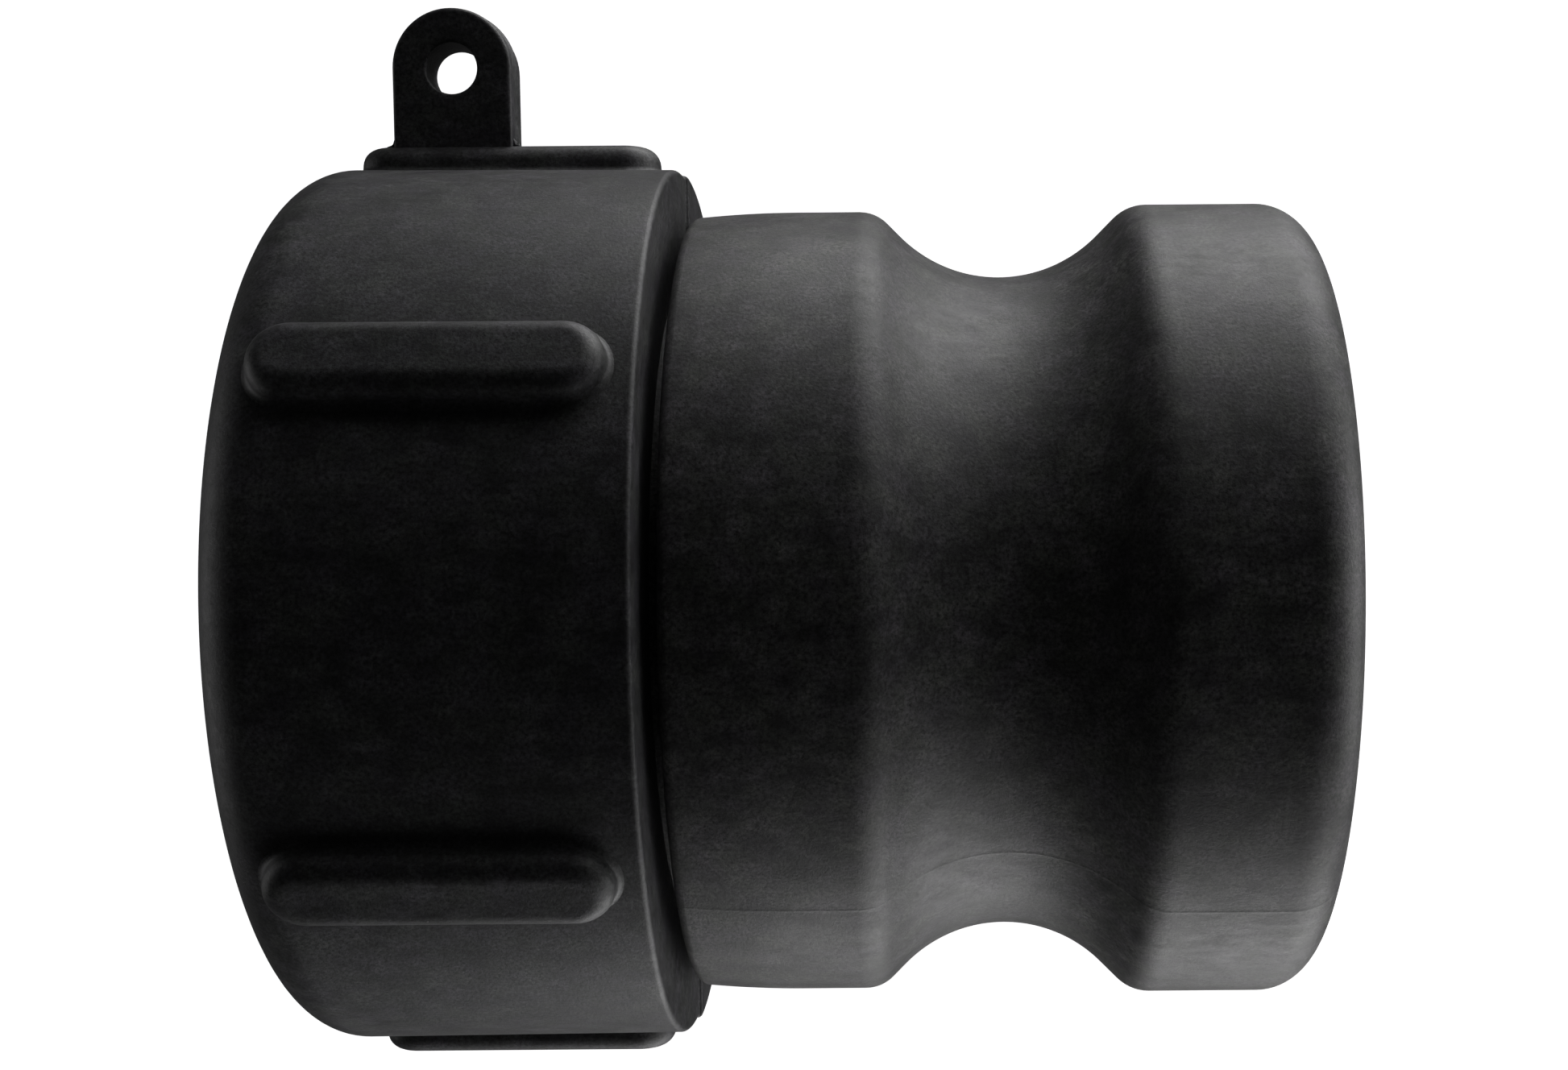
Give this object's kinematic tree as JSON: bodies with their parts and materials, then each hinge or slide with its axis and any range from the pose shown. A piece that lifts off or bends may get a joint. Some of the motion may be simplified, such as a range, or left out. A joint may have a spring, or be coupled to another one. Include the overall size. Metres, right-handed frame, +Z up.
{
  "type": "camlock coupling",
  "caption": "Male cam-and-groove hose adapter in black plastic with a coarse-thread swivel nut, grip ribs and an eye lug.",
  "frame": {"origin": "on the common axis, in the plane of the swivel nut's mouth, where the tank's spout enters", "axes": "+X along the axis towards the camlock nose, +Y along the nut's eye lug, +Z up as the coupling lies on its side, parallel to the lug's eye"},
  "size_m": [0.078, 0.0836, 0.069],
  "materials": {
    "black_polypropylene": "matte, finely grained moulding",
    "collar_polypropylene": "plain moulding",
    "gasket_rubber": "smooth moulded rubber"
  },
  "bodies": {
    "adapter": {"adapter_body": "black_polypropylene", "retaining_collar": "collar_polypropylene", "gasket": "gasket_rubber"},
    "nut": {"swivel_nut": "black_polypropylene"}
  },
  "joints": [
    {"name": "nut_spin", "type": "hinge", "parent": "adapter", "child": "nut", "pos_m": [0.027, 0, 0], "axis": [1, 0, 0], "continuous": true}
  ]
}
